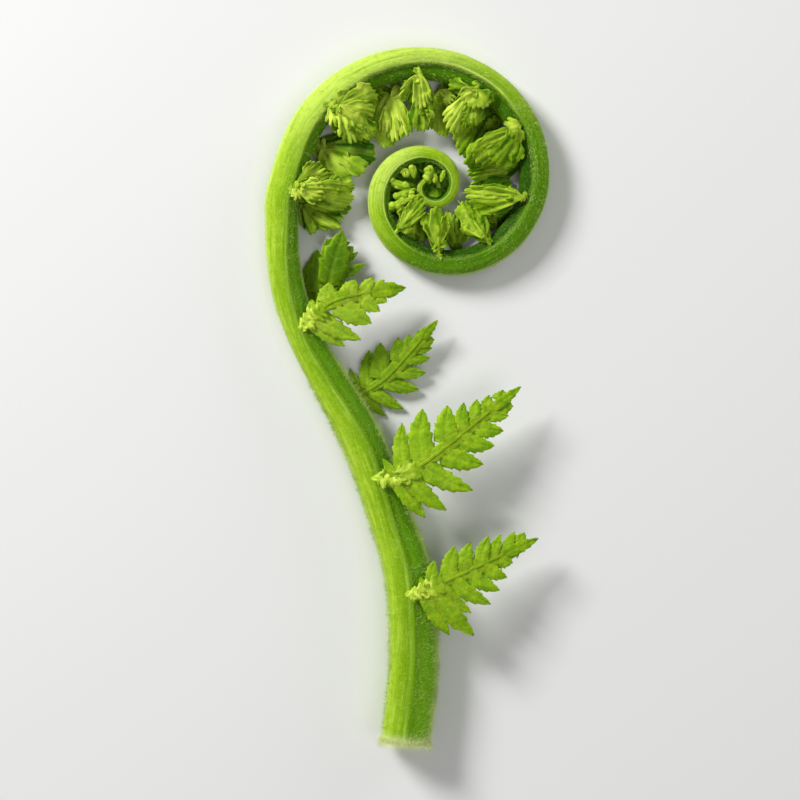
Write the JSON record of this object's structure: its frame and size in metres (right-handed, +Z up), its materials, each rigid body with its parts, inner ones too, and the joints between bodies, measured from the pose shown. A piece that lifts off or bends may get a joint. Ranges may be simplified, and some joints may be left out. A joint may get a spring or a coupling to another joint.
{
  "type": "fern frond",
  "caption": "Young fern frond with a rolled crozier tip, a hairy stalk and cut leaflets, picked and laid on its side.",
  "frame": {"origin": "on the surface the frond lies on, under the centre of its outline", "axes": "+X to the right as the picture shows the frond, +Y from the cut end of the stalk to the coil, +Z up from the surface, towards the picture's viewer"},
  "size_m": [0.0516, 0.1257, 0.0092],
  "materials": {
    "frond_green": "fresh lime-green plant skin, satin on the stalk with fine lengthwise striae and pale hairs, softer on the thin leaflets"
  },
  "bodies": {
    "root": {"frond": "frond_green"}
  },
  "joints": []
}
